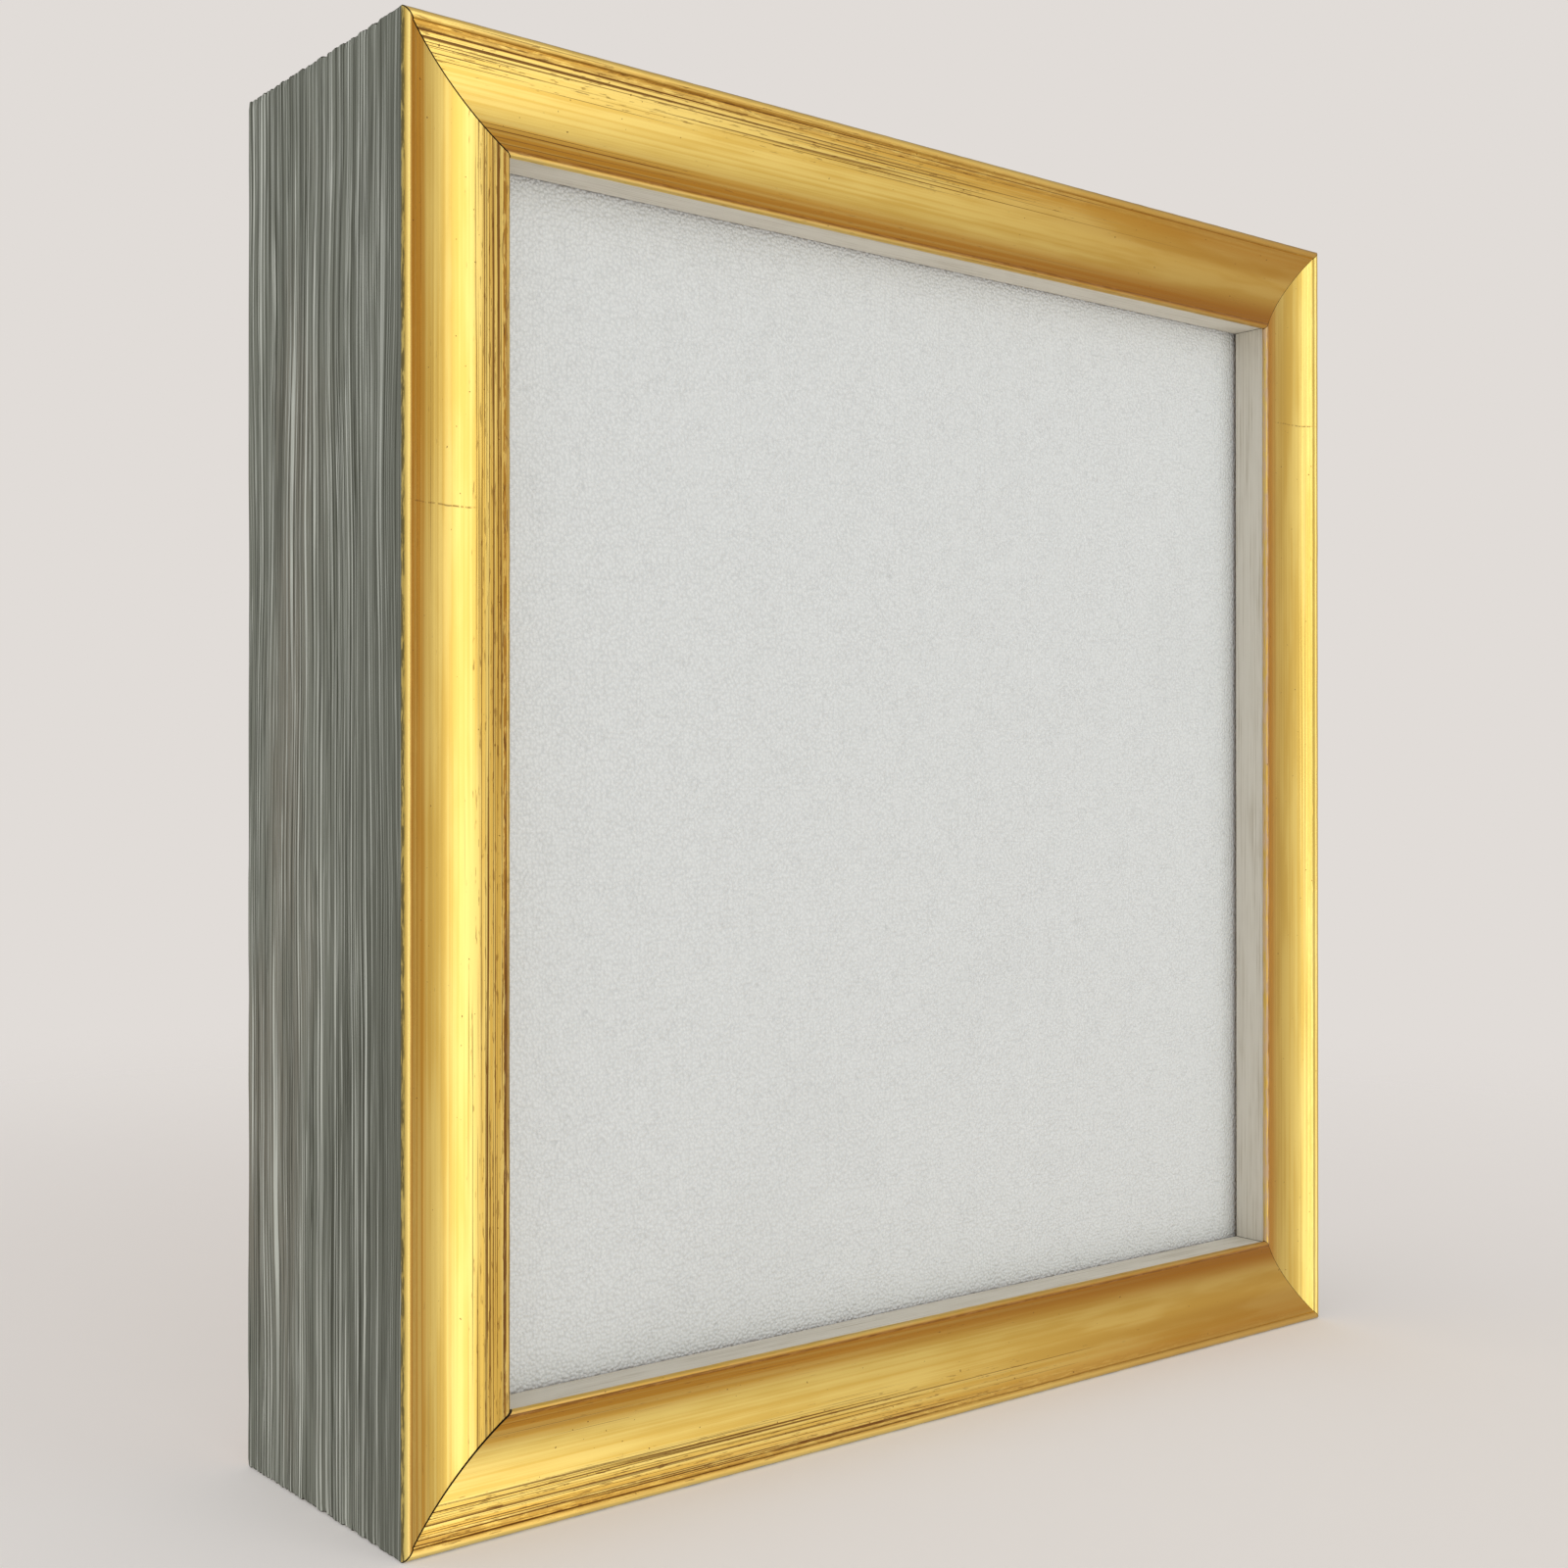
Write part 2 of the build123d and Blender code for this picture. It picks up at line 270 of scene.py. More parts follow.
class Recipe:
    """A node tree being written: node() makes any node from its type, settings and inputs."""

    def __init__(self, tree):
        self.tree = tree
        tree.nodes.clear()

    def node(self, kind, settings=None, inputs=None, output=0):
        made = self.tree.nodes.new(kind)
        for key, value in (settings or {}).items():
            setattr(made, key, value)
        for key, value in (inputs or {}).items():
            socket = made.inputs[key]
            if isinstance(value, Value):
                self.tree.links.new(value.socket, socket)
            else:
                socket.default_value = value
        return Value(self, made.outputs[output]) if made.outputs else None

    def mix(self, factor, first, second):
        """Colours mixed by a factor; sockets 6 and 7 are the two colours, output 2 the result."""
        inputs = {0: factor, 6: opaque(first), 7: opaque(second)}
        return self.node("ShaderNodeMix", {"data_type": "RGBA"}, inputs, output=2)

    def placed(self, vector, scale, seed=0.0):
        return self.node(
            "ShaderNodeMapping", None, {"Vector": vector, "Scale": scale, "Location": (0, 0, seed)}
        )

    def noise(self, vector, detail=2.0, roughness=0.5, distortion=0.0):
        inputs = {
            "Vector": vector,
            "Scale": 1.0,
            "Detail": detail,
            "Roughness": roughness,
            "Distortion": distortion,
        }
        return self.node("ShaderNodeTexNoise", None, inputs)

    def streaks(self, vector, amount):
        """Noise cut off at a level: hardly any is left at amount 0, and half of it at 1."""
        return (self.noise(vector, 3.0, 0.6) + amount * 0.22).rise(0.72, 0.77)

    def split(self, vector, axis):
        return self.node("ShaderNodeSeparateXYZ", None, {0: vector}, output=axis)


def opaque(value):
    return value if isinstance(value, Value) else (*value[:3], 1.0)


class Finish(Recipe):
    """A material being written."""

    def __init__(self, name):
        self.material = bpy.data.materials.new(name)
        self.material.use_nodes = True
        super().__init__(self.material.node_tree)

    def grain_map(self):
        """Metres along the piece and metres across its surface."""
        return self.node("ShaderNodeUVMap", {"uv_map": "grain"})

    def place(self):
        return self.node("ShaderNodeTexCoord", output=3)

    def bump(self, height, distance):
        return self.node("ShaderNodeBump", None, {"Height": height, "Distance": distance, "Strength": 1.0})

    def done(self, base, roughness, height=None, distance=0.0, **more):
        inputs = {"Base Color": opaque(base), "Roughness": roughness}
        if height is not None:
            inputs["Normal"] = self.bump(height, distance)
        inputs |= {key.replace("_", " "): value for key, value in more.items()}
        shader = self.node("ShaderNodeBsdfPrincipled", None, inputs)
        self.node("ShaderNodeOutputMaterial", None, {"Surface": shader})
        return self.material


# ---------------------------------------------------------------- materials


def gilding(name, look, span, worn, seed, lap, fade):
    """Leaf over bole: clean in the middle of the hollow, streaked and rubbed towards its edges.

    span holds where the hollow starts and ends across the surface. worn says, from 0 to 1, how
    streaked the outer edge is, how streaked the inner edge is, how much darker orange the inner edge
    turns, how strongly light is painted at the outer edge (a painted dark reflection at the foot of the
    hollow, a painted highlight on the bead, and amber at the nose where it is weak), and how far the
    nose is rubbed to its ground. Two leaves overlap at lap. The streaks fade out towards the rail's end
    on the side that fade's sign gives, and painted shade darkens the leaf there.
    """
    outer, inner, inner_darkening, painted_edge_light, rubbed = worn
    start, end = span
    f = Finish(name)
    grain = f.grain_map()
    along = f.split(grain, 0)
    across = f.split(grain, 1)

    # How worn each place is: along the outer and inner edges, and less towards the far end, where painted
    # shade darkens the leaf
    far = ((along - seed / 5) * fade).rise(-0.02, 0.1)
    outer_zone = across.band(start + 0.4 * MM, start + 4.6 * MM, 2.8 * MM)
    inner_zone = across.rise(end - 8.5 * MM, end - 2 * MM)
    streaked = (outer_zone * outer + inner_zone * inner).clamped() * (1 - far * 0.9)

    # Long dark streaks, short flecks and the brightly rubbed leaf between them
    thin = f.streaks(f.placed(grain, (4, 2100, 1), seed + 3), streaked * 0.82)
    fine = f.streaks(f.placed(grain, (9, 2900, 1), seed + 7), streaked * 0.95)
    fleck = f.streaks(f.placed(grain, (240, 2600, 1), seed + 5), streaked * 0.72)
    stria = f.noise(f.placed(grain, (4, 1200, 1), seed + 9), 3.0, 0.6)
    dark = (thin * 0.95 + fine * 0.75 + fleck * 0.5) * streaked.rise(0.0, 0.3)
    dark = dark.clamped() * (0.8 + streaked * 0.2)
    light = stria.rise(0.5, 0.6) * streaked

    # Parts of the section, and marks of their own
    # A painted highlight along the bead's crest, stronger on rails with more painted edge light
    crest_highlight_mask = across.band(1.05 * MM, start - 0.55 * MM, 0.25 * MM) * (0.2 + painted_edge_light * 0.8)
    on_side = across.rise(0.85 * MM, 0.35 * MM)
    chip = f.noise(f.placed(grain, (230, 1900, 1), seed + 8), 4.0, 0.7)
    # Painted dark reflection at the foot of the hollow, set per rail
    foot_shade = across.band(start, start + 1.6 * MM, 2.6 * MM) * painted_edge_light
    # The inner edge turns darker orange and amber, by an amount set per rail
    tone = across.rise(end - 6.2 * MM, end - 1.2 * MM) * across.rise(end + 0.8 * MM, end) * inner_darkening
    patch = f.noise(f.placed(grain, (22, 160, 1), seed + 11), 3.0, 0.55)
    pit = f.noise(f.placed(grain, (1300, 1300, 1), seed + 14), 1.0, 0.5).rise(0.77, 0.795)
    rust = across.band(start - 0.2 * MM, start + 0.8 * MM, 0.8 * MM) * outer * (1 - far * 0.7) * 0.55
    rust = (rust + across.band(end - 0.2 * MM, end, 0.25 * MM)) * chip.rise(0.42, 0.5)
    wander = f.noise(f.placed(grain, (1, 90, 1), seed + 17), 3.0, 0.6)
    lap_line = ((along - lap) + (wander - 0.5) * (1.6 * MM)).size().rise(0.2 * MM, 0.06 * MM)
    lap_line = lap_line * across.band(start + 0.6 * MM, end - 6 * MM, 2 * MM) * chip.rise(0.42, 0.52)

    # The leaf's colour, from clean gold to bole, dirt, grime and bare ground, with a painted highlight on
    # the crest and painted shade at the foot and towards the far end
    even = patch + (stria - patch) * (1 - far) * 0.5
    tint = f.mix(even.rise(0.42, 0.58), look.warm, look.bright)
    tint = f.mix(light * 0.8, tint, look.bright)
    tint = f.mix(crest_highlight_mask, tint, look.painted_crest_highlight)
    # Orange: painted dark reflection at the foot, the darker inner edge, bole at the chips, and painted
    # shade towards the far end
    toning_and_shade = foot_shade * (0.22 + stria.rise(0.6, 0.42) * 0.55) + tone * (0.6 + patch * 0.5) * (1 - light * 0.7)
    toning_and_shade = toning_and_shade + rust * 0.55 + far * 0.2
    tint = f.mix(toning_and_shade.clamped(), tint, look.orange_leaf_and_shade)
    # Amber: the darker inner edge, painted shade towards the far end and over whole rails (most on the top
    # and bottom), and amber at the nose on rails with little painted edge light
    glaze_and_shade = tone * 0.28 + far * 0.18 + far * outer_zone * 0.25 + outer * 0.12
    glaze_and_shade = glaze_and_shade + across.rise(end - 0.4 * MM, end) * (1 - painted_edge_light) * 0.35
    tint = f.mix(glaze_and_shade.clamped(), tint, look.amber_and_shade)
    gone = (dark + rust * 0.5 + pit * (1 - crest_highlight_mask) * 0.8 + lap_line * 0.55).clamped()
    tint = f.mix(gone, tint, look.umber)
    grime = (on_side * (0.4 + chip.rise(0.42, 0.56) * 0.75)).clamped()
    tint = f.mix(grime, tint, look.olive)
    bare = across.rise(end - 0.5 * MM, end + 0.1 * MM) * rubbed * chip.rise(0.6, 0.42)
    tint = f.mix(bare, tint, look.ground)

    roughness = look.roughness + gone * 0.3 + bare * 0.2 + (patch - 0.5) * 0.14
    height = stria * (1 - far * 0.8) * 0.7 - gone * 0.6 - grime * 0.4
    metal = 1 - gone * 0.5 - grime * 0.4 - bare * 0.9 - crest_highlight_mask * 0.3
    return f.done(tint, roughness, height, 0.035 * MM, Metallic=metal.clamped())


def weathered(look):
    """Grey brushed softwood: pale hairlines of raised grain, dark pores, darker and calmer near the gilding.
    """
    f = Finish("weathered_grey_timber")
    grain = f.grain_map()
    along = f.split(grain, 0)
    across = f.split(grain, 1)
    drift = f.noise(f.placed(grain, (9, 42, 1), 1), 2.0, 0.5) - 0.5
    waved = across + drift * (6 * MM)
    flow = f.node("ShaderNodeCombineXYZ", None, {0: along, 1: waved, 2: 0.0})
    long = f.noise(f.placed(flow, (7, 2000, 1), 2), 2.0, 0.6)
    short = f.noise(f.placed(flow, (28, 2700, 1), 8), 2.0, 0.6)
    broken = f.noise(f.placed(flow, (22, 300, 1), 12), 2.0, 0.6)
    cast = f.noise(f.placed(grain, (9, 40, 1), 9), 3.0, 0.5)
    calm = 1 - across.rise(-14 * MM, -1.5 * MM) * 0.6
    pale = long.rise(0.55, 0.6) * (0.55 + broken.rise(0.4, 0.6) * 0.6) + short.rise(0.58, 0.66) * 0.8
    pale = (pale * calm).clamped()
    deep = long.rise(0.45, 0.39) * 0.72 + short.rise(0.42, 0.36) * 0.6 + cast.rise(0.5, 0.36) * 0.3
    deep = (deep * calm).clamped()
    tint = f.mix(cast.rise(0.48, 0.66) * across.rise(-14 * MM, -30 * MM) * 0.5, look.grey, look.brown)
    # Dark pores, and the side darker towards its front edge next to the gilding
    tint = f.mix((deep + across.rise(-18 * MM, -4 * MM) * 0.38).clamped(), tint, look.dark)
    tint = f.mix(pale * (1 - deep * 0.6), tint, look.pale)
    height = pale * 0.8 - deep * 0.8
    return f.done(tint, 0.66 + deep * 0.1, height, 0.11 * MM, Specular_IOR_Level=0.35)


def limewashed(look):
    """Thin white wash with the wood's lines showing through."""
    f = Finish("limewashed_lip")
    grain = f.grain_map()
    lines = f.noise(f.placed(grain, (35, 3600, 1), 31), 3.0, 0.65)
    cloud = f.noise(f.placed(grain, (60, 300, 1), 33), 3.0, 0.6)
    shown = (lines * 0.7 + cloud * 0.3).rise(0.47, 0.66)
    tint = f.mix(shown * 0.8, look.limewash, look.limewash_grain)
    return f.done(tint, 0.72 - cloud * 0.1, lines, 0.05 * MM, Specular_IOR_Level=0.3)


def timber(name, light, dark, ring_scale, seed):
    """Bare wood with growth rings drawn out along the piece and fine pores."""
    f = Finish(name)
    grain = f.grain_map()
    bend = f.noise(f.placed(grain, (5, 30, 1), seed), 2.0, 0.5)
    rings = f.noise(f.placed(grain, (3, ring_scale, 1), seed + 2), 2.0, 0.5, 0.4)
    pores = f.noise(f.placed(grain, (70, 5200, 1), seed + 4), 3.0, 0.65)
    shade = (rings * 0.6 + bend * 0.2 + pores * 0.2).rise(0.42, 0.62)
    tint = f.mix(shade, light, dark)
    tint = f.mix(pores.rise(0.6, 0.72) * 0.35, tint, dark)
    height = pores * 0.6 + rings * 0.4
    return f.done(tint, 0.62 + (pores - 0.5) * 0.2, height, 0.05 * MM, Specular_IOR_Level=0.35)


def primed_canvas(look):
    """Primer over a weave: soft pebbles of uneven height with painted shade between them, and a few specks.
    """
    f = Finish("primed_canvas")
    where = f.place()
    broad = f.noise(f.placed(where, (22, 22, 22), 7), 3.0, 0.5)
    pebble = {"Vector": where, "Scale": 1 / look.pebble, "Randomness": 0.8, "Smoothness": 0.3}
    gap = f.node("ShaderNodeTexVoronoi", {"feature": "SMOOTH_F1"}, pebble)
    uneven = f.noise(f.placed(where, (400, 400, 400), 4), 2.0, 0.5)
    bumps = (1 - gap * 1.5) * (0.35 + uneven)
    speck = f.noise(f.placed(where, (300, 300, 300), 9), 1.0, 0.5).rise(0.78, 0.8) * 0.5
    # Painted shade in the hollows between the pebbles, plus the specks
    hollow = bumps.rise(0.45, 0.0) * 0.5 + speck
    tint = f.mix((hollow + broad.rise(0.5, 0.7) * 0.1).clamped(), look.primer, look.primer_painted_shade)
    return f.done(tint, 0.62, bumps, look.pebble_relief, Specular_IOR_Level=0.3)


def raw_cotton(look):
    """Plain weave in the plane of the picture, with painted shade between its threads."""
    f = Finish("raw_cotton")
    where = f.place()
    broad = f.noise(f.placed(where, (22, 22, 22), 7), 3.0, 0.5)
    turn = pi / look.thread
    slur = (f.noise(f.placed(where, (180, 180, 180), 1), 2.0, 0.5) - 0.5) * 1.6
    warp = (f.split(where, 0) * turn + slur).sine()
    weft = (f.split(where, 2) * turn + slur * 0.8).sine()
    uneven = f.noise(f.placed(where, (900, 900, 900), 4), 2.0, 0.6)
    threads = warp * weft * 0.35 + 0.5 + (uneven - 0.5) * 0.9
    # Painted shade between the threads
    hollow = threads.rise(0.75, 0.2) * 0.55
    tint = f.mix((hollow + broad.rise(0.5, 0.7) * 0.1).clamped(), look.duck, look.duck_painted_shade)
    return f.done(tint, 0.85, threads, look.thread_relief, Specular_IOR_Level=0.3)


def plated(name, bright, dull, scale, roughness, seed):
    """Bright plate with duller smears, about a metre over scale in size, and a finer grain."""
    f = Finish(name)
    where = f.place()
    smear = f.noise(f.placed(where, (scale, scale, scale), seed), 4.0, 0.6)
    fine = f.noise(f.placed(where, (scale * 9, scale * 9, scale * 9), seed + 2), 2.0, 0.5)
    tint = f.mix(smear.rise(0.42, 0.68), bright, dull)
    rough = roughness + smear * 0.16
    return f.done(tint, rough, fine * 0.6 + smear * 0.4, 0.01 * MM, Metallic=1.0)


def rubber(look):
    """Black rubber with a faint dusty mottle."""
    f = Finish("bumper_rubber")
    where = f.place()
    mottle = f.noise(f.placed(where, (700, 700, 700), 3), 3.0, 0.6)
    tint = f.mix(mottle.rise(0.4, 0.7) * 0.4, look.rubber, (0.09, 0.09, 0.09))
    return f.done(tint, 0.55 + mottle * 0.2, mottle, 0.03 * MM)


def studio_floor(look):
    """A pale sweep that glows a little and fades out towards its rim."""
    f = Finish("pale_floor")
    where = f.place()
    tooth = f.noise(f.placed(where, (60, 60, 60), 3), 3.0, 0.5)
    tint = f.mix(tooth * 0.04, look.floor, (0.6, 0.58, 0.56))
    away = f.node("ShaderNodeVectorMath", {"operation": "LENGTH"}, {0: where}, output=1)
    more = {"Specular_IOR_Level": 0.0, "Emission_Color": opaque(look.floor), "Emission_Strength": 0.27}
    return f.done(tint, 0.85, Alpha=away.rise(0.62, 0.2), **more)


# ---------------------------------------------------------------- modelling


def settings():
    return bpy.context.scene.scoop_frame


def n3(a, b, c):
    """Smooth noise, about -1 to 1, at a place given by three numbers."""
    return noise.noise(Vector((a, b, c)))


def ease(x, low, high):
    """Smooth rise from 0 at low to 1 at high."""
    t = min(max((x - low) / (high - low), 0.0), 1.0)
    return t * t * (3 - 2 * t)


def arc(first, middle, last, steps):
    """Points on the circle through three (depth, inset) points, from first to last, without last."""
    (ax, ay), (bx, by), (cx, cy) = first, middle, last
    d = 2 * (ax * (by - cy) + bx * (cy - ay) + cx * (ay - by))
    a2, b2, c2 = ax * ax + ay * ay, bx * bx + by * by, cx * cx + cy * cy
    ux = (a2 * (by - cy) + b2 * (cy - ay) + c2 * (ay - by)) / d
    uy = (a2 * (cx - bx) + b2 * (ax - cx) + c2 * (bx - ax)) / d
    radius = sqrt((ax - ux) ** 2 + (ay - uy) ** 2)
    begin, end = atan2(ay - uy, ax - ux), atan2(cy - uy, cx - ux)
    half_way = atan2(by - uy, bx - ux)
    turn = (end - begin) % (2 * pi)
    if (half_way - begin) % (2 * pi) > turn:
        turn -= 2 * pi
    angles = [begin + turn * k / steps for k in range(steps)]
    return [(ux + radius * cos(t), uy + radius * sin(t)) for t in angles]


def line(first, last, steps):
    """Evenly spaced points from first to last, without last."""
    return [
        tuple(a + (b - a) * k / steps for a, b in zip(first, last)) for k in range(steps)
    ]


def piece(name, bm, materials, body, replaces=()):
    """Finish a bmesh as an object of the frame."""
    mesh = bpy.data.meshes.new(name)
    bm.to_mesh(mesh)
    bm.free()
    made = bpy.data.objects.new(name, mesh)
    bpy.context.scene.collection.objects.link(made)
    for material in materials:
        mesh.materials.append(material)
    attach(made, body)
    if replaces:
        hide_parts(*replaces)
    return made


def mark_edges(bm, angle=35):
    """Round shading, with a crease wherever two faces meet at more than the angle."""
    for face in bm.faces:
        face.smooth = True
    for edge in bm.edges:
        edge.smooth = edge.calc_face_angle(0.0) < radians(angle)


def turned(side):
    """Carries what was made as the bottom side round the frame's middle to another side."""
    middle = Matrix.Translation((0, 0, HALF))
    angle = -pi / 2 * SIDES.index(side)
    return middle @ Matrix.Rotation(angle, 4, "Y") @ middle.inverted()


class Section:
    """A closed section of a moulding: points, arc lengths, outward normals and a zone per side."""

    def __init__(self):
        self.points = []
        self.zones = []

    def add(self, points, zone):
        self.points += points
        self.zones += [zone] * len(points)

    def close(self, zero):
        """Work out distances along the outline, counted from the point with index zero."""
        count = len(self.points)
        steps = [
            sqrt(sum((b - a) ** 2 for a, b in zip(self.points[k], self.points[(k + 1) % count])))
            for k in range(count)
        ]
        self.around = sum(steps)
        self.across = [sum(steps[:k]) for k in range(count)]
        shift = self.across[zero]
        self.across = [a - shift for a in self.across]
        area = sum(
            a[0] * b[1] - b[0] * a[1] for a, b in zip(self.points, self.points[1:] + self.points[:1])
        )
        way = 1 if area > 0 else -1
        self.normals = []
        for k in range(count):
            (x0, y0), (x1, y1) = self.points[k - 1], self.points[(k + 1) % count]
            span = max(sqrt((x1 - x0) ** 2 + (y1 - y0) ** 2), 1e-9)
            self.normals.append((way * (y1 - y0) / span, -way * (x1 - x0) / span))


def run(section, reach, step, sink):
    """Draw a section out along X from -reach to reach, sinking each point by sink(x, index)."""
    bm = bmesh.new()
    count = len(section.points)
    bmesh.ops.create_grid(bm, x_segments=round(2 * reach / step), y_segments=count, size=1)
    grain = bm.loops.layers.uv.new("grain")
    row = {v: round((v.co.y + 1) / 2 * count) for v in bm.verts}
    across = section.across + [0.0]
    for face in bm.faces:
        zone = section.zones[min(row[v] for v in face.verts)]
        face.material_index = zone
        for loop in face.loops:
            over = across[row[loop.vert]]
            unrolled = section.around if zone != SIDE and over < 0 else 0.0
            loop[grain].uv = (loop.vert.co.x * reach, over + unrolled)
    for v, k in row.items():
        k %= count
        x = v.co.x * reach
        sunk = sink(x, k)
        (depth, inset), (nd, ni) = section.points[k], section.normals[k]
        v.co = (x, FRONT + depth - nd * sunk, inset - ni * sunk)
    seam = [v for v, k in row.items() if k % count == 0]
    bmesh.ops.remove_doubles(bm, verts=seam, dist=1e-7)
    return bm


def mitre(bm, left_gap, right_gap, open_left):
    """Cut both ends at 45 degrees and close them. open_left widens the left joint inwards."""
    grain = bm.loops.layers.uv["grain"]
    lean = open_left / (20 * MM)  # the left joint opens by this much for each metre inwards
    for way, gap, opening in ((-1, left_gap, lean), (1, right_gap, 0.0)):
        normal = Vector((way * (1 - opening), 0, 1 + opening)).normalized()
        corner = Vector((way * (HALF - gap * sqrt(2)), 0, 0))
        everything = bm.verts[:] + bm.edges[:] + bm.faces[:]
        bmesh.ops.bisect_plane(
            bm, geom=everything, dist=1e-7, plane_co=corner, plane_no=normal, clear_outer=True
        )
        open_edges = [e for e in bm.edges if e.is_boundary]
        rim = [e for e in open_edges if max(abs((v.co - corner).dot(normal)) for v in e.verts) < 1e-6]
        before = set(bm.faces)
        bmesh.ops.holes_fill(bm, edges=rim, sides=0)
        for face in set(bm.faces) - before:
            face.material_index = CUT
            for loop in face.loops:
                loop[grain].uv = (loop.vert.co.z * 20, loop.vert.co.y)
    bmesh.ops.recalc_face_normals(bm, faces=bm.faces[:])


# Zones of the frame moulding's surface, in the order of its materials
GOLD, SIDE, LIP, RAW, CUT = range(5)


def moulding_section(m):
    """The frame moulding: depth behind the front plane and inset from the outer edge, in metres."""
    wall = m.face - m.setback
    crest_foot = (0.25 * MM, m.crest_width)
    hollow_foot = (0.25 * MM + m.quirk, m.crest_width + 0.12 * MM)
    hollow_top = (m.nose_front, m.hollow_end)
    nose_end = (m.nose_depth, wall)
    section = Section()
    section.add(arc((m.crest_side, 0), (0, 0.986 * MM), crest_foot, 14), GOLD)
    section.add(line(crest_foot, hollow_foot, 2), GOLD)
    first = len(section.points)
    section.add(arc(hollow_foot, (m.hollow_depth, m.hollow_middle), hollow_top, 96), GOLD)
    last = len(section.points)
    section.add(arc(hollow_top, (m.nose_peak, m.face), nose_end, 12), GOLD)
    section.add(line(nose_end, (m.lip, wall), 16), LIP)
    section.add(line((m.lip, wall), (m.lip, m.rabbet_wall), 4), RAW)
    section.add(line((m.lip, m.rabbet_wall), (DEPTH, m.rabbet_wall), 14), RAW)
    section.add(line((DEPTH, m.rabbet_wall), (DEPTH, m.arris), 12), RAW)
    section.add(line((DEPTH, m.arris), (DEPTH - m.arris, 0), 2), SIDE)
    section.add(line((DEPTH - m.arris, 0), (m.crest_side, 0), 165), SIDE)
    section.close(zero=0)
    section.span = (section.across[first], section.across[last])
    section.across = [
        a - section.around if zone == SIDE else a for a, zone in zip(section.across, section.zones)
    ]
    return section


def weathering(x, s, seed):
    """The brushed grain's height, about -1 to 1, and its pores' depth, at a place in millimetres."""
    drift = 2.6 * n3(x * 0.011, s * 0.055, seed) + 0.8 * n3(x * 0.034, s * 0.15, seed + 4)
    grain = s + drift
    broad = n3(grain * 0.5, x * 0.006, seed + 8)
    middle = n3(grain * 1.1, x * 0.011, seed + 12)
    fine = n3(grain * 1.9, x * 0.02, seed + 16)
    pore = n3(grain * 1.9, x * 0.03, seed + 20)
    return 0.1 * broad + 0.15 * middle + 0.6 * fine, max(0.0, pore - 0.3)


def rail_sink(section, m, seed):
    """A function of x and a point's index: how far the rail sinks there below its true section."""
    end_x = HALF / MM
    start, end = (edge / MM for edge in section.span)

    def sink(x, k):
        zone = section.zones[k]
        s = section.across[k] / MM
        x = x / MM
        to_corner = end_x - abs(x)
        if zone == SIDE:
            height, pore = weathering(x, s, seed)
            calm = 1 - 0.65 * ease(s, -12, -3)
            wear = ease(to_corner, 1.6, 0) * max(0.0, 0.25 + n3(s * 0.62, 7, 3) + 0.5 * n3(s * 1.5, 7, 8))
            near_gold = ease(s, -1.2, -0.2)
            depth = ((0.5 - 0.5 * height) + pore * 2.0) * calm
            depth = m.grain_relief * max(0.0, depth) + m.chipping * wear * calm
            return depth * (1 - near_gold)
        if zone == GOLD:
            on_bead = ease(s, start + 0.2, start - 0.3)
            on_nose = ease(s, end, end + 0.6)
            streak = n3(s * 3.4 + 0.4 * n3(x * 0.02, s * 0.2, seed), x * 0.018, seed + 30)
            edge = ease(s, start + 7, start + 1) + ease(s, end - 6, end - 1)
            bead = n3(x * 0.35, s * 0.8, seed + 34) * (on_bead + on_nose)
            depth = max(0.0, 0.35 + streak) * edge * (1 - on_bead) + (0.5 + bead) * (on_bead + on_nose)
            return m.leaf_relief * max(0.0, depth)
        lines = n3(s * 2.2, x * 0.03, seed + 40)
        return 0.06 * MM * max(0.0, 0.5 + 0.5 * lines)

    return sink


